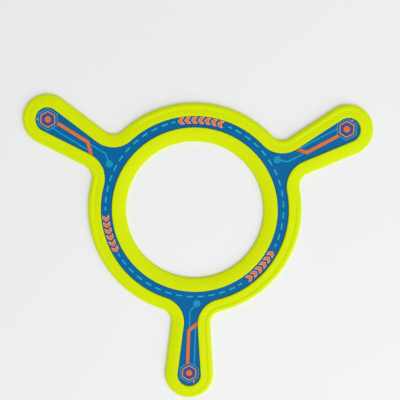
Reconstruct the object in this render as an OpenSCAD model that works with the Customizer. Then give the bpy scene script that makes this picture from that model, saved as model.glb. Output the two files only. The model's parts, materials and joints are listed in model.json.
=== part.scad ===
// Three-armed flying ring of the boomerang kind: a stiff core moulded into two soft rims.
// Lengths are in millimetres and angles in degrees. The part lies flat, with Z up.
// The origin is the centre of the round opening, on the plane of the underside.
// An arm's leading side is the one that faces anticlockwise, seen from above.

/* [Ring] */
// Radius of the round opening
opening_r = 55; // [48:0.5:60]
// Width of the soft rim round the opening
inner_rim_w = 11; // [9:0.1:14]
// Width of the band that shows between the two rims, round the ring
band_w = 8.8; // [6:0.1:12]
// Width of the soft rim along the ring and the arms
outer_rim_w = 10.2; // [9.8:0.1:11.5]

/* [Arms] */
// Number of arms
arm_count = 3; // [2:1:4]
// Reach of an arm, from the ring's centre to its tip
arm_reach = 155.8; // [150:0.2:180]
// Radius of an arm's round end
arm_end_r = 19.8; // [18:0.1:22]
// How far each side of an arm closes in towards the ring
arm_taper = 5.3; // [0:0.05:6]
// Radius of the hollow corner where an arm's side meets the ring
arm_root_r = 11; // [6:0.5:16]

/* [Rims] */
// Height of the rims beside the band
rim_h = 4.2; // [3.8:0.1:4.2]
// Radius of the arc in which the rims' tops fall away from the band
dome_r = 30; // [28:1:60]
// Height of the raised bead along the leading edge
bead_h = 4.2; // [4.2:0.1:5]
// Distance from the outer edge to the bead's crest
bead_crest = 3.1; // [2:0.1:4]
// Width of the bead's slope from its crest down to the domed top
bead_slope = 2; // [1:0.1:3]
// Length over which the ring's bead fades out before the next arm
bead_fade = 22; // [10:1:40]
// Width of the rounded upper edge where there is no bead
plain_edge_w = 1.5; // [0.8:0.1:2]
// Height at which the outer wall starts to round over
wall_h = 2; // [1.5:0.1:2.6]
// Radius of the outer rim's lower edge
foot_r = 1; // [0.4:0.1:1.4]
// Radius of the edge that falls to the band
lip_r = 0.8; // [0.6:0.1:1.3]
// Radius of the upper edge round the opening
opening_edge_r = 1.6; // [1:0.1:2]

/* [Core] */
// How far the core's underside lies above the rims' underside
core_lift = 0.5; // [0.2:0.1:0.8]
// Thickness of the core where it shows
core_t = 2.2; // [1.8:0.1:2.4]
// Thickness of the tongues that the rims are moulded over
tongue_t = 1.2; // [0.8:0.1:1.4]
// Depth of the tongues inside the rims
tongue_w = 4; // [3:0.1:5]
// Radius of the key holes in the tongues
key_r = 1.1; // [0.6:0.1:1.3]
// Distance from one key hole to the next
key_pitch = 14; // [8:0.5:30]
// Gap between the core's edges and the faceted outer rim
core_gap = 0.1; // [0.1:0.05:0.3]

/* [Label] */
// Thickness of the printed label
label_t = 0.25; // [0.1:0.05:0.4]
// Margin between the label's edge and the rims
label_gap = 0.3; // [0.2:0.1:0.8]

/* [Hidden] */

rim_colour = [0.85, 0.92, 0.02];
core_colour = [0.02, 0.41, 0.63];
label_colour = [0.04, 0.36, 0.6];

band_in_r = opening_r + inner_rim_w;
band_out_r = band_in_r + band_w;
ring_r = band_out_r + outer_rim_w;

// One arm lies along X before it is turned to its place.
first_arm = 30;
arm_pitch = 360 / arm_count;
arm_end = [arm_reach - arm_end_r, 0];
side_dir = [cos(arm_taper), sin(arm_taper)];
side_out = [-sin(arm_taper), cos(arm_taper)];

// Centre of the hollow corner on the leading side: along and across that side, then in X and Y
root_across = arm_end_r + arm_root_r - arm_end[0] * sin(arm_taper);
root_along = sqrt((ring_r + arm_root_r) ^ 2 - root_across ^ 2);
root_centre = root_along * side_dir + root_across * side_out;
root_angle = atan2(root_centre[1], root_centre[0]);
side_len = arm_end[0] * cos(arm_taper) - root_along;
fade_angle = bead_fade / ring_r * 180 / PI;

core_top = core_lift + core_t;
tongue_z = core_lift + (core_t - tongue_t) / 2;
key_in = tongue_w / 2;
// How far a key of soft plastic reaches into the rim above and below its hole
key_root = 0.3;

// How far an arc of the outline passes the points where it would only touch its neighbours
hair = 0.002;

// Steps along the outer rim's arcs and round its section
ring_steps = ceil((arm_pitch - 2 * root_angle) / 5);
end_steps = 18;
root_steps = 8;
edge_steps = 6;
slope_steps = 4;
dome_steps = 4;
lip_steps = 3;
foot_steps = 3;
$fn = 96;

module at_each_arm() {
    for (i = [0 : arm_count - 1]) rotate(first_arm + i * arm_pitch) children();
}

module on_both_sides() {
    children();
    mirror([0, 1]) children();
}

// The outline of ring and arms, drawn in by inset
module outline(inset) {
    circle(r = ring_r - inset);
    at_each_arm() {
        translate(arm_end) circle(r = arm_end_r - inset + hair);
        on_both_sides() arm_half(inset);
    }
}

// Half of an arm between the ring's centre and its round end, with the hollow corner at its root
module arm_half(inset) {
    difference() {
        polygon([
            [0, 0],
            arm_end,
            arm_end + (arm_end_r - inset) * side_out,
            root_centre - (arm_root_r + inset) * side_out,
            root_centre,
        ]);
        translate(root_centre) circle(r = arm_root_r + inset + hair);
    }
}

function turn(p, a) = [p[0] * cos(a) - p[1] * sin(a), p[0] * sin(a) + p[1] * cos(a)];
function ray(a) = [cos(a), sin(a)];
function arc(centre, r, from, to, steps) =
    [for (i = [0 : steps]) centre + r * ray(from + (to - from) * i / steps)];
// Eases from 0 to 1 as x goes from 0 to 1, and stays there on either side
function ease(x) = (1 - cos(180 * min(1, max(0, x)))) / 2;

// A station of the outer rim: point on the outer edge, direction inward, share of the bead's height.
// Stations round a convex arc face its centre, those round a hollow corner face away from it.
function convex(centre, r, a, bead) = [centre + r * ray(a), -ray(a), bead];
function hollow(centre, r, a, bead) = [centre + r * ray(a), ray(a), bead];

// The stations of one arm and of the ring's arc up to the next arm, anticlockwise
end_half = 90 + arm_taper;
arc_angle = arm_pitch - 2 * root_angle;
arm_stations = [
    for (i = [0 : root_steps])
        let (a = 180 - root_angle - (end_half - root_angle) * i / root_steps)
        hollow([root_centre[0], -root_centre[1]], arm_root_r, a, 0),
    for (i = [0 : end_steps])
        let (share = i / end_steps)
        convex(arm_end, arm_end_r, end_half * (2 * share - 1), ease(share)),
    for (i = [0 : root_steps])
        let (a = 180 + end_half - (end_half - root_angle) * i / root_steps)
        hollow(root_centre, arm_root_r, a, 1),
    for (i = [1 : ring_steps - 1])
        let (left = arc_angle * (1 - i / ring_steps))
        convex([0, 0], ring_r, arm_pitch - root_angle - left, ease(left / fade_angle)),
];
stations = [
    for (i = [0 : arm_count - 1], s = arm_stations)
        let (a = first_arm + i * arm_pitch)
        [turn(s[0], a), turn(s[1], a), s[2]]
];

// Height of the outer rim's top at a distance inward from its outer edge, before that edge is rounded
function outer_top(distance, bead) =
    let (
        from_lip = outer_rim_w - lip_r - distance,
        plain = rim_h - dome_r + sqrt(dome_r ^ 2 - from_lip ^ 2),
    )
    plain + bead * ease((bead_crest + bead_slope - distance) / bead_slope) * (bead_h - plain);

// Section of the outer rim, from its outer wall over the top and back along the underside:
// distance inward from the outer edge, and height
function rim_section(bead) =
    let (
        crest = plain_edge_w + bead * (bead_crest - plain_edge_w),
        foot = bead_crest + bead_slope,
        lip = outer_rim_w - lip_r,
        tongue_in = outer_rim_w - tongue_w,
    )
    [
        for (i = [0 : edge_steps])
            let (a = 90 * i / edge_steps, distance = crest * (1 - cos(a)))
            [distance, wall_h + (outer_top(distance, bead) - wall_h) * sin(a)],
        for (i = [1 : slope_steps])
            let (distance = crest + (foot - crest) * i / slope_steps)
            [distance, outer_top(distance, bead)],
        for (i = [1 : dome_steps - 1])
            let (distance = foot + (lip - foot) * i / dome_steps)
            [distance, outer_top(distance, bead)],
        each arc([lip, rim_h - lip_r], lip_r, 90, 0, lip_steps),
        [outer_rim_w, tongue_z + tongue_t],
        [tongue_in, tongue_z + tongue_t],
        [tongue_in, tongue_z],
        [outer_rim_w, tongue_z],
        [outer_rim_w, 0],
        each arc([foot_r, foot_r], foot_r, 270, 180, foot_steps),
    ];

module outer_rim_loop() {
    count = len(rim_section(0));
    points = [
        for (s = stations, q = rim_section(s[2]))
            let (p = s[0] + q[0] * s[1])
            [p[0], p[1], q[1]]
    ];
    total = len(points);
    faces = [
        for (i = [0 : len(stations) - 1], j = [0 : count - 1])
            let (
                a = i * count + j,
                b = i * count + (j + 1) % count,
                c = (b + count) % total,
                d = (a + count) % total,
            )
            each [[a, b, c], [a, c, d]]
    ];
    polyhedron(points, faces);
}

// Soft rim along the outside of ring and arms, with keys that run through the core's tongues
module outer_rim() {
    color(rim_colour) {
        outer_rim_loop();
        keys() outer_key_places() circle(r = key_r);
    }
}

module keys() {
    translate([0, 0, tongue_z - key_root]) linear_extrude(tongue_t + 2 * key_root) children();
}

// Soft rim round the opening
module inner_rim() {
    color(rim_colour) difference() {
        rotate_extrude() translate([opening_r, 0]) inner_section();
        core_solid();
    }
}

// Section of the inner rim: X runs outward from the opening, Y is up.
// The rounded edge of the opening runs smoothly into the domed top, which leans by lean there.
module inner_section() {
    lip = inner_rim_w - lip_r;
    dome = [lip, rim_h - dome_r];
    lean = asin((lip - opening_edge_r) / (dome_r - opening_edge_r));
    edge = [opening_edge_r, dome[1] + (dome_r - opening_edge_r) * cos(lean)];
    polygon([
        [0, 0],
        each arc(edge, opening_edge_r, 180, 90 + lean, edge_steps),
        for (i = [1 : dome_steps - 1]) dome + dome_r * ray(90 + lean * (1 - i / dome_steps)),
        each arc([lip, rim_h - lip_r], lip_r, 90, 0, lip_steps),
        [inner_rim_w, 0],
    ]);
}

// The core without its colour: the band that shows, and the tongues with their key holes
module core_solid() {
    translate([0, 0, core_lift]) linear_extrude(core_t) difference() {
        outline(outer_rim_w + core_gap);
        circle(r = band_in_r);
    }
    translate([0, 0, tongue_z]) linear_extrude(tongue_t) difference() {
        outline(outer_rim_w + core_gap - tongue_w);
        circle(r = band_in_r - tongue_w);
        outer_key_places() circle(r = key_r);
        inner_key_places() circle(r = key_r);
    }
}

// Halfway along the outer tongue: round the ring's arcs, along the arms' sides and round their ends
module outer_key_places() {
    key_w = outer_rim_w - key_in;
    arc_count = max(1, round(arc_angle * PI / 180 * ring_r / key_pitch));
    side_count = max(1, round(side_len / key_pitch));
    end_count = max(1, round(end_half * PI / 90 * (arm_end_r - key_w) / key_pitch));
    at_each_arm() {
        for (i = [0 : arc_count - 1])
            rotate(root_angle + arc_angle * (i + 0.5) / arc_count)
                translate([ring_r - key_w, 0]) children();
        on_both_sides() for (i = [0 : side_count - 1])
            translate(arm_end + (arm_end_r - key_w) * side_out - side_len * (i + 0.5) / side_count * side_dir)
                children();
        for (i = [0 : end_count - 1])
            translate(arm_end) rotate(end_half * (2 * (i + 0.5) / end_count - 1))
                translate([arm_end_r - key_w, 0]) children();
    }
}

// Halfway along the inner tongue
module inner_key_places() {
    count = round(2 * PI * band_in_r / key_pitch);
    for (i = [0 : count - 1]) rotate(360 * i / count) translate([band_in_r - key_in, 0]) children();
}

// Stiff plastic core: ring and arms in one piece
module core_frame() {
    color(core_colour) core_solid();
}

// Thin printed label on the band
module printed_label() {
    color(label_colour) translate([0, 0, core_top]) linear_extrude(label_t) difference() {
        outline(outer_rim_w + label_gap);
        circle(r = band_in_r + label_gap);
    }
}

core_frame();
outer_rim();
inner_rim();
printed_label();
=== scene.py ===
"""The finished flying ring: soft lime rims on a blue core with its printed band, lying on a white table.

Lengths are in metres in the part's own frame, with Z up and the ring's centre at the origin.
Angles are in degrees, anticlockwise from +X seen from above.
"""
import json
import math

import bmesh
import bpy
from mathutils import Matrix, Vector


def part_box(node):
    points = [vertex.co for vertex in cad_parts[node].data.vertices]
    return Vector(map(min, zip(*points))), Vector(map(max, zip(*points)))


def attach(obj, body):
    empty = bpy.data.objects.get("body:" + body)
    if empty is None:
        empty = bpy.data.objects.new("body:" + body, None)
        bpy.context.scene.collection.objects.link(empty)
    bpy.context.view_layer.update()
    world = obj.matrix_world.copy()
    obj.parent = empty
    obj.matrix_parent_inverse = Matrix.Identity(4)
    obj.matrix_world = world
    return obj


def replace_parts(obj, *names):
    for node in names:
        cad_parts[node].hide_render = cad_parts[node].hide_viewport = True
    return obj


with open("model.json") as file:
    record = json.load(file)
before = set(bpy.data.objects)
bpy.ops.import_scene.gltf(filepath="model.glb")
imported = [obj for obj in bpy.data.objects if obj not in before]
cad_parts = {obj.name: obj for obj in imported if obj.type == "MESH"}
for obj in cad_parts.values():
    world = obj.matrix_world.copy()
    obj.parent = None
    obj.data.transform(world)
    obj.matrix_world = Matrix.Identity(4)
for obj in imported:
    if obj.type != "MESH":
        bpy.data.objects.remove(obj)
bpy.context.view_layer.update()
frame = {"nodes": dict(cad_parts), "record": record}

MM = 0.001

# Ring and arms, as the CAD nodes have them. One arm points along -Y, so its tip is the lowest corner.
rim_low, rim_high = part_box("outer_rim")
opening_r = frame["record"]["mounts"][0]["dims"]["r_mm"] * MM
band_in_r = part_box("inner_rim")[1].x
rim_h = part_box("inner_rim")[1].z
bead_h = rim_high.z
core_low, core_top = (corner.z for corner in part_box("core_frame"))
label_low, label_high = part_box("printed_label")
label_gap = 0.3 * MM
band_w = 8.8 * MM
arm_reach = -rim_low.y
outer_rim_w = arm_reach + label_low.y - label_gap
ring_r = band_in_r + band_w + outer_rim_w
arm_angles = (30, 150, 270)
arm_pitch = 120
arm_end_r = (rim_high.x - arm_reach * math.cos(math.radians(30))) / (1 - math.cos(math.radians(30)))
arm_end_x = arm_reach - arm_end_r
arm_taper = 5.3
arm_root_r = 11 * MM

# Section of the rims
bead_crest = 3.1 * MM
bead_slope = 2 * MM
dome_r = 30 * MM
bead_fade = 22 * MM
# Width of the rounded upper edge where there is no bead
plain_edge_w = 1.5 * MM
wall_h = 2 * MM
foot_r = 1 * MM
lip_r = 0.8 * MM
opening_edge_r = 1.6 * MM
hem_r = 0.3 * MM
seam_depth = 0.05 * MM
seam_h = 0.12 * MM
opening_seam_at = 0.8 * MM
hem_steps = 4
lip_steps = 8
tongue_w = 4 * MM
tongue_inset = 0.5 * MM
tongue_low = core_low + tongue_inset
tongue_high = core_top - tongue_inset

# The print lies a little off the ring's centre.
print_shift = Vector((-0.25 * MM, 0.7 * MM))
ink_t = 0.04 * MM

# Camera: from above, leaning to the picture's top and rolled against the part, as fitted to the photo's
# outlines. It looks at view_offset from the ring's centre, where the picture is view_width across.
camera_distance = 500 * MM
view_width = 317 * MM
view_offset = Vector((4.3 * MM, 8.8 * MM))
view_lean = (-6.9, 0.7)
view_roll = 2
sensor_width = 36


def ray(angle):
    """The unit vector at that angle."""
    return Vector((math.cos(math.radians(angle)), math.sin(math.radians(angle))))


def ease(x):
    """Eases from 0 to 1 as x goes from 0 to 1, and stays there on either side."""
    return (1 - math.cos(math.pi * min(1, max(0, x)))) / 2


def turned(point, angle):
    """The point turned about the ring's centre."""
    c, s = ray(angle)
    return Vector((point[0] * c - point[1] * s, point[0] * s + point[1] * c))


def arc(centre, radius, start, end, steps):
    """Points along an arc, with both its ends."""
    return [Vector(centre) + radius * ray(start + (end - start) * i / steps) for i in range(steps + 1)]


# ---- Meshes ----

def finished(name, bm, sharp_angle=35):
    """Makes an object of a bmesh, shaded smooth but for its sharp edges, riding on the part's one body."""
    bmesh.ops.recalc_face_normals(bm, faces=bm.faces)
    mesh = bpy.data.meshes.new(name)
    bm.to_mesh(mesh)
    bm.free()
    mesh.shade_smooth()
    mesh.set_sharp_from_angle(angle=math.radians(sharp_angle))
    piece = bpy.data.objects.new(name, mesh)
    bpy.context.scene.collection.objects.link(piece)
    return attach(piece, "root")


def swept(name, rings):
    """A closed loop of rings, each a closed row of points."""
    bm = bmesh.new()
    rows = [[bm.verts.new(point) for point in ring] for ring in rings]
    for row, following in zip(rows, rows[1:] + rows[:1]):
        for i in range(len(row)):
            j = (i + 1) % len(row)
            bm.faces.new((row[i], row[j], following[j], following[i]))
    return finished(name, bm)


def add_plate(bm, outline, low, high):
    """A flat plate with that outline."""
    below = [bm.verts.new((x, y, low)) for x, y in outline]
    above = [bm.verts.new((x, y, high)) for x, y in outline]
    bm.faces.new(below)
    bm.faces.new(above)
    for i in range(len(outline)):
        j = (i + 1) % len(outline)
        bm.faces.new((below[i], below[j], above[j], above[i]))


def add_frame(bm, outer, inner, low, high):
    """A flat plate between two outlines that have as many points."""
    loops = [[bm.verts.new((x, y, z)) for x, y in outline]
             for outline, z in ((outer, low), (outer, high), (inner, high), (inner, low))]
    for loop, following in zip(loops, loops[1:] + loops[:1]):
        for i in range(len(loop)):
            j = (i + 1) % len(loop)
            bm.faces.new((loop[i], loop[j], following[j], following[i]))


# ---- Rims ----

def outline_stations():
    """Points along the outer edge, each with its direction inward and its share of the bead's height."""
    side_out = ray(90 + arm_taper)
    side_dir = ray(arm_taper)
    across = arm_end_r + arm_root_r - arm_end_x * math.sin(math.radians(arm_taper))
    along = math.sqrt((ring_r + arm_root_r) ** 2 - across ** 2)
    root = along * side_dir + across * side_out
    root_angle = math.degrees(math.atan2(root.y, root.x))
    root_turn = 90 + arm_taper - root_angle
    end_half = 90 + arm_taper
    arc_angle = arm_pitch - 2 * root_angle
    fade_angle = math.degrees(bead_fade / ring_r)
    root_steps, end_steps, ring_steps = 24, 64, 90

    def station(centre, radius, angle, inward, bead):
        return Vector(centre) + radius * ray(angle), inward * ray(angle), bead

    one_arm = []
    for i in range(root_steps + 1):
        angle = 180 - root_angle - root_turn * i / root_steps
        one_arm.append(station((root.x, -root.y), arm_root_r, angle, 1, 0))
    for i in range(end_steps + 1):
        share = i / end_steps
        one_arm.append(station((arm_end_x, 0), arm_end_r, end_half * (2 * share - 1), -1, ease(share)))
    for i in range(root_steps + 1):
        angle = 180 + end_half - root_turn * i / root_steps
        one_arm.append(station(root, arm_root_r, angle, 1, 1))
    for i in range(1, ring_steps):
        left = arc_angle * (1 - i / ring_steps)
        one_arm.append(station((0, 0), ring_r, arm_pitch - root_angle - left, -1, ease(left / fade_angle)))
    return [(turned(point, a), turned(inward, a), bead)
            for a in arm_angles for point, inward, bead in one_arm]


def seam(wall, height, into):
    """A fine mould seam across an upright wall, at that height."""
    return [Vector((wall, height + seam_h / 2)), Vector((wall + into * seam_depth, height)),
            Vector((wall, height - seam_h / 2))]


def outer_top(distance, bead):
    """Height of the outer rim's top at that distance inward from the edge, before the edge is rounded."""
    lip = outer_rim_w - lip_r
    plain = rim_h - dome_r + math.sqrt(dome_r ** 2 - (lip - distance) ** 2)
    return plain + bead * ease((bead_crest + bead_slope - distance) / bead_slope) * (bead_h - plain)


def outer_section(bead):
    """Section of the outer rim: distance inward from the outer edge, and height."""
    crest = plain_edge_w + bead * (bead_crest - plain_edge_w)
    foot = bead_crest + bead_slope
    lip = outer_rim_w - lip_r
    edge_steps, slope_steps, top_steps = 20, 12, 8
    section = [Vector((0, wall_h))]
    for i in range(1, edge_steps + 1):
        c, s = ray(90 * i / edge_steps)
        distance = crest * (1 - c)
        section.append(Vector((distance, wall_h + (outer_top(distance, bead) - wall_h) * s)))
    for start, end, steps in ((crest, foot, slope_steps), (foot, lip, top_steps)):
        for i in range(1, steps + 1):
            distance = start + (end - start) * i / steps
            section.append(Vector((distance, outer_top(distance, bead))))
    section += arc((lip, rim_h - lip_r), lip_r, 90, 0, lip_steps)[1:]
    section += [Vector((outer_rim_w, tongue_high)), Vector((outer_rim_w - tongue_w, tongue_high)),
                Vector((outer_rim_w - tongue_w, tongue_low)), Vector((outer_rim_w, tongue_low))]
    section += arc((outer_rim_w - hem_r, hem_r), hem_r, 0, -90, hem_steps)
    section += arc((foot_r, foot_r), foot_r, 270, 180, lip_steps)
    return section + list(reversed(seam(0, (foot_r + wall_h) / 2, 1)))


def make_outer_rim():
    """The rim along the outside of ring and arms."""
    rings = []
    for point, inward, bead in outline_stations():
        rings.append([(*(point + d * inward), h) for d, h in outer_section(bead)])
    rim = swept("outer_rim_skin", rings)
    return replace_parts(rim, "outer_rim")


def make_inner_rim():
    """The rim round the opening, turned about the ring's centre."""
    turn_steps, edge_steps, top_steps = 288, 16, 10
    lip = Vector((band_in_r - lip_r, rim_h))
    edge_in = lip.x - opening_r - opening_edge_r
    dome_drop = dome_r - math.sqrt((dome_r - opening_edge_r) ** 2 - edge_in ** 2)
    lean = math.degrees(math.asin(edge_in / (dome_r - opening_edge_r)))
    section = arc((opening_r + opening_edge_r, rim_h - dome_drop), opening_edge_r, 180, 90 + lean, edge_steps)
    section += arc((lip.x, lip.y - dome_r), dome_r, 90 + lean, 90, top_steps)[1:]
    section += arc((lip.x, lip.y - lip_r), lip_r, 90, 0, lip_steps)[1:]
    section += [Vector((band_in_r, tongue_high)), Vector((band_in_r - tongue_w, tongue_high)),
                Vector((band_in_r - tongue_w, tongue_low)), Vector((band_in_r, tongue_low))]
    section += arc((band_in_r - hem_r, hem_r), hem_r, 0, -90, hem_steps)
    section += arc((opening_r + hem_r, hem_r), hem_r, 270, 180, hem_steps)
    section += reversed(seam(opening_r, opening_seam_at, 1))
    rings = []
    for i in range(turn_steps):
        c, s = ray(360 * i / turn_steps)
        rings.append([(r * c, r * s, h) for r, h in section])
    rim = swept("inner_rim_skin", rings)
    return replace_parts(rim, "inner_rim")


# ---- Print ----

def grown(outline, by):
    """The outline moved outward by that much, with mitred corners. It runs anticlockwise."""
    sharpest = 0.3
    moved = []
    for i, point in enumerate(outline):
        before = (point - outline[i - 1]).normalized()
        after = (outline[(i + 1) % len(outline)] - point).normalized()
        out = Vector((before.y + after.y, -before.x - after.x)).normalized()
        moved.append(point + out * by / max(sharpest, out.dot(Vector((before.y, -before.x)))))
    return moved


def ribbon(points, width):
    """Outline of a line of that width through the points, with mitred corners and square ends."""
    sides = ([], [])
    for i, point in enumerate(points):
        before = (point - points[i - 1]).normalized() if i else None
        after = (points[i + 1] - point).normalized() if i + 1 < len(points) else None
        along = (before or after) + (after or before)
        normal = Vector((-along.y, along.x)).normalized()
        step = before or after
        reach = width / 2 / normal.dot(Vector((-step.y, step.x)))
        sides[0].append(point + normal * reach)
        sides[1].append(point - normal * reach)
    return sides[1] + list(reversed(sides[0]))


def circle(centre, radius, steps=40):
    return arc(centre, radius, 0, 360 * (steps - 1) / steps, steps - 1)


def hexagon(centre, radius):
    return [Vector(centre) + radius * ray(60 * i) for i in range(6)]


def printed(name, material, layer, plates=(), frames=()):
    """One ink of the print: plates and frames on the label, a layer of ink thick for each ink below it."""
    low = label_high.z
    high = low + layer * ink_t
    bm = bmesh.new()
    for outline in plates:
        add_plate(bm, [point + print_shift for point in outline], low, high)
    for outer, inner in frames:
        add_frame(bm, [p + print_shift for p in outer], [p + print_shift for p in inner], low, high)
    piece = finished(name, bm)
    piece.data.materials.append(material)
    return piece


def make_trimmer():
    """A copy of the label, raised so that it holds all the ink on it."""
    trimmer = frame["nodes"]["printed_label"].copy()
    trimmer.data = trimmer.data.copy()
    for vertex in trimmer.data.vertices:
        vertex.co.z += label_high.z - label_low.z - ink_t / 4
    bpy.context.scene.collection.objects.link(trimmer)
    return trimmer


def trimmed(piece, trimmer):
    """Cuts off the ink that would pass the label's edge."""
    modifier = piece.modifiers.new("label_edge", "BOOLEAN")
    modifier.operation = "INTERSECT"
    modifier.object = trimmer
    whole = bpy.context.evaluated_depsgraph_get()
    mesh = bpy.data.meshes.new_from_object(piece.evaluated_get(whole))
    piece.modifiers.clear()
    piece.data = mesh
    return piece


def on_arms(shapes):
    """Outlines along one arm, repeated on each arm."""
    return [[turned(point, a) for point in shape] for a in arm_angles for shape in shapes]


def frames_on_arms(pairs):
    """Pairs of outlines along one arm, repeated on each arm."""
    return [tuple([turned(point, a) for point in outline] for outline in pair)
            for a in arm_angles for pair in pairs]


# Round the band: three rows of chevrons, each with its middle angle and count, and between them three rows
# of dashes, each with the angle of its first full dash and the count of full ones
band_print_r = 70.9 * MM
chevron_rows = ((87.8, 7), (198.3, 6), (321.5, 6))
chevron_pitch = 4.2
chevron_h = 4.5 * MM
chevron_stroke = 2 * MM
chevron_lean = 1.8 * MM
chevron_line = 0.5 * MM
chevron_rim = 0.35 * MM
chevron_shadow = Vector((0.15 * MM, -0.15 * MM))
dash_rows = ((-15.8, 12), (111, 10), (218.9, 12))
dash_pitch = 7.15
dash_angle = 4.1
end_dash_angle = 2.5
end_dash_step = 5.8
dash_w = 1.1 * MM


def chevron(angle):
    """A chevron on the band that points anticlockwise."""
    half = chevron_h / 2
    left, right = -(chevron_stroke + chevron_lean) / 2, (chevron_stroke + chevron_lean) / 2
    corners = [(left, -half), (left + chevron_stroke, -half), (right, 0), (left + chevron_stroke, half),
               (left, half), (left + chevron_lean, 0)]
    return [turned((band_print_r - y, x), angle) for x, y in corners]


def chevrons():
    """The rows of chevrons."""
    return [chevron(middle + (i - (count - 1) / 2) * chevron_pitch)
            for middle, count in chevron_rows for i in range(count)]


def dash(middle, span):
    """A dash along the middle of the band."""
    start, end = middle - span / 2, middle + span / 2
    return (arc((0, 0), band_print_r + dash_w / 2, start, end, 6)
            + arc((0, 0), band_print_r - dash_w / 2, end, start, 6))


def band_dashes():
    """The rows of dashes, with a shorter dash at each end."""
    shapes = []
    for first, count in dash_rows:
        last = first + (count - 1) * dash_pitch
        shapes += [dash(first + i * dash_pitch, dash_angle) for i in range(count)]
        shapes += [dash(middle, end_dash_angle) for middle in (first - end_dash_step, last + end_dash_step)]
    return shapes


# Along an arm, with X outward from the ring's centre and Y to the leading side
node_at = Vector((76.4 * MM, 4.6 * MM))
node_r = 2.8 * MM
trace_w = 0.9 * MM
dot_r = 0.95 * MM
trace_knee = Vector((83 * MM, -0.75 * MM))
stripe_root = Vector((90 * MM, 8.3 * MM))
stripe_bend = Vector((99.5 * MM, -1.2 * MM))
stripe_w = 2 * MM
stripe_line = 0.3 * MM
stripe_end_x = 127.1 * MM
line_y = 4.2 * MM
badge_at = Vector((135.3 * MM, 0.3 * MM))
badge_r = 6.75 * MM
badge_line = 0.95 * MM
key_line = 0.35 * MM
border_r = 8.8 * MM
border_line = 0.6 * MM
emblem_r = 2.1 * MM
emblem_line = 0.3 * MM
tick_at = Vector((142.4 * MM, 4.4 * MM))
tick_size = Vector((2.8 * MM, 0.7 * MM))


def stripe(margin):
    """The broad stripe: slantwise from the leading edge to the arm's middle, and out to the badge."""
    end = Vector((stripe_end_x + margin, stripe_bend.y))
    return ribbon([stripe_root, stripe_bend, end], stripe_w + 2 * margin)


def stripe_x(y):
    """How far out the middle of the stripe's slanted part is, at that distance to the leading side."""
    slope = (stripe_bend.x - stripe_root.x) / (stripe_bend.y - stripe_root.y)
    return stripe_root.x + (y - stripe_root.y) * slope


def traces():
    """The thin line from the round node to the stripe, and the one from there to the badge."""
    start = node_at + (trace_knee - node_at).normalized() * (node_r - trace_w / 2)
    inner_line = ribbon([start, trace_knee, Vector((stripe_x(trace_knee.y), trace_knee.y))], trace_w)
    border_x = badge_at.x - border_r + (line_y - badge_at.y) / math.tan(math.radians(60))
    ends = [Vector((x, line_y)) for x in (stripe_x(line_y), border_x + border_line / 2)]
    return [inner_line, ribbon(ends, trace_w)]


def make_print():
    """All the ink on the label, from the lowest layer up."""
    inks = [ink(name, *pair) for name, pair in INKS.items()]
    cyan, sky, teal, steel, orange, peach, cream, lilac, violet, dark = inks
    trimmer = make_trimmer()
    shapes = chevrons()
    printed("band_dashes", cyan, 1, band_dashes())
    rims = [grown(s, chevron_line + chevron_rim) for s in shapes]
    trimmed(printed("chevron_shadows", dark, 1, [[p + chevron_shadow for p in s] for s in rims]), trimmer)
    trimmed(printed("chevron_outlines", cream, 2, [grown(s, chevron_line) for s in shapes]), trimmer)
    printed("chevron_fills", orange, 3, shapes)

    node_ring = (circle(node_at, node_r), circle(node_at, node_r - trace_w))
    printed("circuit_traces", sky, 1, on_arms(traces()))
    printed("circuit_fields", teal, 2, on_arms([circle(node_at, node_r)]))
    printed("circuit_rings", sky, 3, (), frames_on_arms([node_ring]))
    printed("circuit_dots", cyan, 3, on_arms([circle(node_at, dot_r)]))
    trimmed(printed("stripe_shadows", dark, 2, on_arms([stripe(2 * stripe_line)])), trimmer)
    trimmed(printed("stripe_edges", peach, 3, on_arms([stripe(stripe_line)])), trimmer)
    trimmed(printed("arm_stripes", orange, 4, on_arms([stripe(0)])), trimmer)
    border = (hexagon(badge_at, border_r), hexagon(badge_at, border_r - border_line))
    trimmed(printed("badge_borders", steel, 2, (), frames_on_arms([border])), trimmer)
    key = (hexagon(badge_at, badge_r + key_line), hexagon(badge_at, badge_r))
    printed("badge_shadows", dark, 2, (), frames_on_arms([key]))
    printed("badge_fields", violet, 2, on_arms([hexagon(badge_at, badge_r)]))
    bright = (hexagon(badge_at, badge_r), hexagon(badge_at, badge_r - badge_line))
    printed("badge_frames", peach, 3, (), frames_on_arms([bright]))
    printed("badge_rings", peach, 3, on_arms([circle(badge_at, emblem_r + emblem_line)]))
    printed("badge_dots", orange, 4, on_arms([circle(badge_at, emblem_r)]))
    half_tick = Vector((tick_size.x / 2, 0))
    tick = ribbon([tick_at - half_tick, tick_at + half_tick], tick_size.y)
    trimmed(printed("arm_ticks", lilac, 3, on_arms([tick])), trimmer)
    bpy.data.objects.remove(trimmer)


# ---- Materials ----

def colour(red, green, blue):
    """A colour written as on a screen, from 0 to 255, as Blender's linear values."""
    linear = [c / 12.92 if c <= 0.04045 else ((c + 0.055) / 1.055) ** 2.4
              for c in (red / 255, green / 255, blue / 255)]
    return (*linear, 1)


INKS = {
    "cyan_ink": (colour(52, 184, 222), colour(34, 166, 206)),
    "sky_ink": (colour(40, 170, 210), colour(26, 150, 196)),
    "teal_ink": (colour(12, 134, 174), colour(6, 124, 166)),
    "steel_ink": (colour(92, 170, 192), colour(80, 156, 186)),
    "orange_ink": (colour(236, 116, 46), colour(222, 108, 50)),
    "peach_ink": (colour(224, 156, 108), colour(210, 142, 110)),
    "cream_ink": (colour(240, 180, 146), colour(232, 166, 146)),
    "lilac_ink": (colour(206, 180, 204), colour(196, 168, 198)),
    "violet_ink": (colour(60, 84, 140), colour(80, 76, 132)),
    "dark_ink": (colour(30, 60, 112), colour(44, 58, 102)),
}


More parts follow.
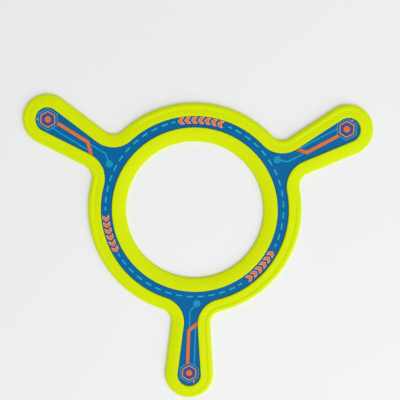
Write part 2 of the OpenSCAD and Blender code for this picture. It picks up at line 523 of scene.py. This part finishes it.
class Shader:
    """A Principled material whose colour, roughness and relief come from noise at real scales."""

    def __init__(self, name, specular):
        self.material = bpy.data.materials.new(name)
        self.material.use_nodes = True
        self.tree = self.material.node_tree
        self.bsdf = self.tree.nodes["Principled BSDF"]
        self.bsdf.inputs["Specular IOR Level"].default_value = specular
        self.place = self.tree.nodes.new("ShaderNodeTexCoord").outputs["Object"]
        self.height = None

    def noise(self, size, detail=3.0, roughness=0.55):
        """Noise from 0 to 1 whose blotches are about size across."""
        node = self.tree.nodes.new("ShaderNodeTexNoise")
        node.inputs["Scale"].default_value = 1 / size
        node.inputs["Detail"].default_value = detail
        node.inputs["Roughness"].default_value = roughness
        self.tree.links.new(self.place, node.inputs["Vector"])
        return node.outputs["Fac"]

    def stretch(self, value, low, high, to_low, to_high):
        node = self.tree.nodes.new("ShaderNodeMapRange")
        for socket, number in zip(node.inputs[1:5], (low, high, to_low, to_high)):
            socket.default_value = number
        self.tree.links.new(value, node.inputs[0])
        return node.outputs[0]

    def mix(self, share, first, second):
        """Mixes two colours, each a colour or another node's output."""
        node = self.tree.nodes.new("ShaderNodeMix")
        node.data_type = "RGBA"
        self.tree.links.new(share, node.inputs["Factor"])
        for socket, value in ((node.inputs[6], first), (node.inputs[7], second)):
            if isinstance(value, tuple):
                socket.default_value = value
            else:
                self.tree.links.new(value, socket)
        return node.outputs[2]

    def base_colour(self, value):
        self.tree.links.new(value, self.bsdf.inputs["Base Color"])

    def roughness(self, value):
        self.tree.links.new(value, self.bsdf.inputs["Roughness"])

    def relief(self, height, distance):
        """Adds bumps of that height over what relief there is."""
        node = self.tree.nodes.new("ShaderNodeBump")
        node.inputs["Distance"].default_value = distance
        self.tree.links.new(height, node.inputs["Height"])
        if self.height:
            self.tree.links.new(self.height, node.inputs["Normal"])
        self.height = node.outputs["Normal"]
        self.tree.links.new(self.height, self.bsdf.inputs["Normal"])


def soft_rim():
    """Lime thermoplastic rubber: faintly cloudy, unevenly dull, with a fine spark-eroded grain."""
    s = Shader("soft_rim_rubber", 0.06)
    cloud = s.stretch(s.noise(18 * MM), 0.35, 0.65, 0, 1)
    fleck = s.stretch(s.noise(1.2 * MM, 2), 0.3, 0.7, 0, 1)
    body = s.mix(cloud, colour(214, 234, 0), colour(220, 236, 0))
    s.base_colour(s.mix(fleck, body, colour(211, 231, 0)))
    s.roughness(s.stretch(s.noise(9 * MM), 0.3, 0.7, 0.42, 0.56))
    s.relief(s.noise(0.35 * MM, 2), 0.012 * MM)
    s.relief(s.noise(14 * MM, 1), 0.05 * MM)
    return s.material


def core_plastic():
    """Blue polypropylene with a fine matt mould texture and faint flow clouds."""
    s = Shader("core_plastic_blue", 0.08)
    cloud = s.stretch(s.noise(12 * MM), 0.3, 0.7, 0, 1)
    s.base_colour(s.mix(cloud, colour(3, 90, 146), colour(5, 82, 138)))
    s.roughness(s.stretch(s.noise(5 * MM), 0.3, 0.7, 0.44, 0.58))
    s.relief(s.noise(0.3 * MM, 2), 0.01 * MM)
    return s.material


def label_film():
    """The label's blue ground: ink that clouds between a greener and a redder blue under a satin varnish."""
    s = Shader("label_film_blue", 0.05)
    cloud = s.stretch(s.noise(7 * MM, 2), 0.35, 0.65, 0, 1)
    grain = s.stretch(s.noise(0.5 * MM, 2), 0.3, 0.7, 0, 1)
    ground = s.mix(cloud, colour(2, 108, 158), colour(6, 98, 168))
    s.base_colour(s.mix(grain, ground, colour(4, 100, 158)))
    s.roughness(s.stretch(s.noise(3 * MM), 0.3, 0.7, 0.34, 0.46))
    s.relief(s.noise(2.5 * MM, 2), 0.01 * MM)
    return s.material


def ink(name, first, second):
    """Screen ink with a slightly uneven coat."""
    s = Shader(name, 0.05)
    s.base_colour(s.mix(s.stretch(s.noise(1.6 * MM, 2), 0.3, 0.7, 0, 1), first, second))
    s.roughness(s.stretch(s.noise(0.8 * MM, 2), 0.3, 0.7, 0.38, 0.5))
    s.relief(s.noise(0.4 * MM, 2), 0.006 * MM)
    return s.material


def paint(piece, material):
    """Gives a piece or a CAD node that material."""
    if not piece.material_slots:
        piece.data.materials.append(material)
    for each in piece.material_slots:
        each.material = material


# ---- Stage ----

backdrop = colour(244, 245, 247)
world_strength = 0.52
# The floor reaches floor_half from the middle, and fades to the backdrop between these distances.
floor_half = 12
floor_fade = (0.35, 1.5)


def make_floor():
    """A white table that passes into the backdrop, as the camera sees it, well away from the part."""
    floor = bpy.data.objects.new("floor", bpy.data.meshes.new("floor"))
    corners = [(x * floor_half, y * floor_half, 0) for x, y in ((-1, -1), (1, -1), (1, 1), (-1, 1))]
    floor.data.from_pydata(corners, [], [(0, 1, 2, 3)])
    bpy.context.scene.collection.objects.link(floor)
    s = Shader("white_table", 0.2)
    s.base_colour(s.mix(s.noise(400 * MM), colour(240, 241, 243), colour(243, 243, 244)))
    s.bsdf.inputs["Roughness"].default_value = 0.8
    distance = s.tree.nodes.new("ShaderNodeVectorMath")
    distance.operation = "LENGTH"
    s.tree.links.new(s.place, distance.inputs[0])
    path = s.tree.nodes.new("ShaderNodeLightPath")
    share = s.tree.nodes.new("ShaderNodeMath")
    share.operation = "MULTIPLY"
    s.tree.links.new(s.stretch(distance.outputs["Value"], *floor_fade, 0, 1), share.inputs[0])
    s.tree.links.new(path.outputs["Is Camera Ray"], share.inputs[1])
    far = s.tree.nodes.new("ShaderNodeEmission")
    far.inputs["Color"].default_value = backdrop
    seen = s.tree.nodes.new("ShaderNodeMixShader")
    s.tree.links.new(share.outputs[0], seen.inputs[0])
    s.tree.links.new(s.bsdf.outputs[0], seen.inputs[1])
    s.tree.links.new(far.outputs[0], seen.inputs[2])
    s.tree.links.new(seen.outputs[0], s.tree.nodes["Material Output"].inputs["Surface"])
    floor.data.materials.append(s.material)


def make_world():
    """Even light from all round, and white where the camera sees past the floor."""
    world = bpy.data.worlds.new("studio")
    bpy.context.scene.world = world
    world.use_nodes = True
    tree = world.node_tree
    output = tree.nodes["World Output"]
    light = tree.nodes["Background"]
    light.inputs["Color"].default_value = (1, 1, 1, 1)
    light.inputs["Strength"].default_value = world_strength
    seen = tree.nodes.new("ShaderNodeBackground")
    seen.inputs["Color"].default_value = backdrop
    path = tree.nodes.new("ShaderNodeLightPath")
    chosen = tree.nodes.new("ShaderNodeMixShader")
    tree.links.new(path.outputs["Is Camera Ray"], chosen.inputs[0])
    tree.links.new(light.outputs[0], chosen.inputs[1])
    tree.links.new(seen.outputs[0], chosen.inputs[2])
    tree.links.new(chosen.outputs[0], output.inputs["Surface"])


def add_lamp(name, azimuth, elevation, distance, size, power):
    """A square soft light that faces the part from that side."""
    lamp = bpy.data.lights.new(name, "AREA")
    lamp.size = size
    lamp.energy = power
    piece = bpy.data.objects.new(name, lamp)
    flat = math.cos(math.radians(elevation)) * ray(azimuth)
    away = Vector((flat.x, flat.y, math.sin(math.radians(elevation))))
    piece.location = away * distance
    piece.rotation_euler = away.to_track_quat("Z", "Y").to_euler()
    bpy.context.scene.collection.objects.link(piece)


def make_camera():
    data = bpy.data.cameras.new("camera")
    data.sensor_width = sensor_width
    data.lens = sensor_width * camera_distance / view_width
    camera = bpy.data.objects.new("camera", data)
    camera.rotation_euler = [math.radians(angle) for angle in (*view_lean, view_roll)]
    target = Vector((*turned(view_offset, view_roll), rim_h))
    camera.location = target + camera.rotation_euler.to_matrix() @ Vector((0, 0, camera_distance))
    bpy.context.scene.collection.objects.link(camera)
    bpy.context.scene.camera = camera


make_camera()
make_world()
make_floor()
add_lamp("key", -43, 32, 2.4, 2.4, 25)
add_lamp("top", -43, 68, 3, 2, 30)
bpy.context.scene.view_settings.view_transform = "Standard"

rim_material = soft_rim()
paint(make_outer_rim(), rim_material)
paint(make_inner_rim(), rim_material)
paint(frame["nodes"]["core_frame"], core_plastic())
paint(frame["nodes"]["printed_label"], label_film())
make_print()
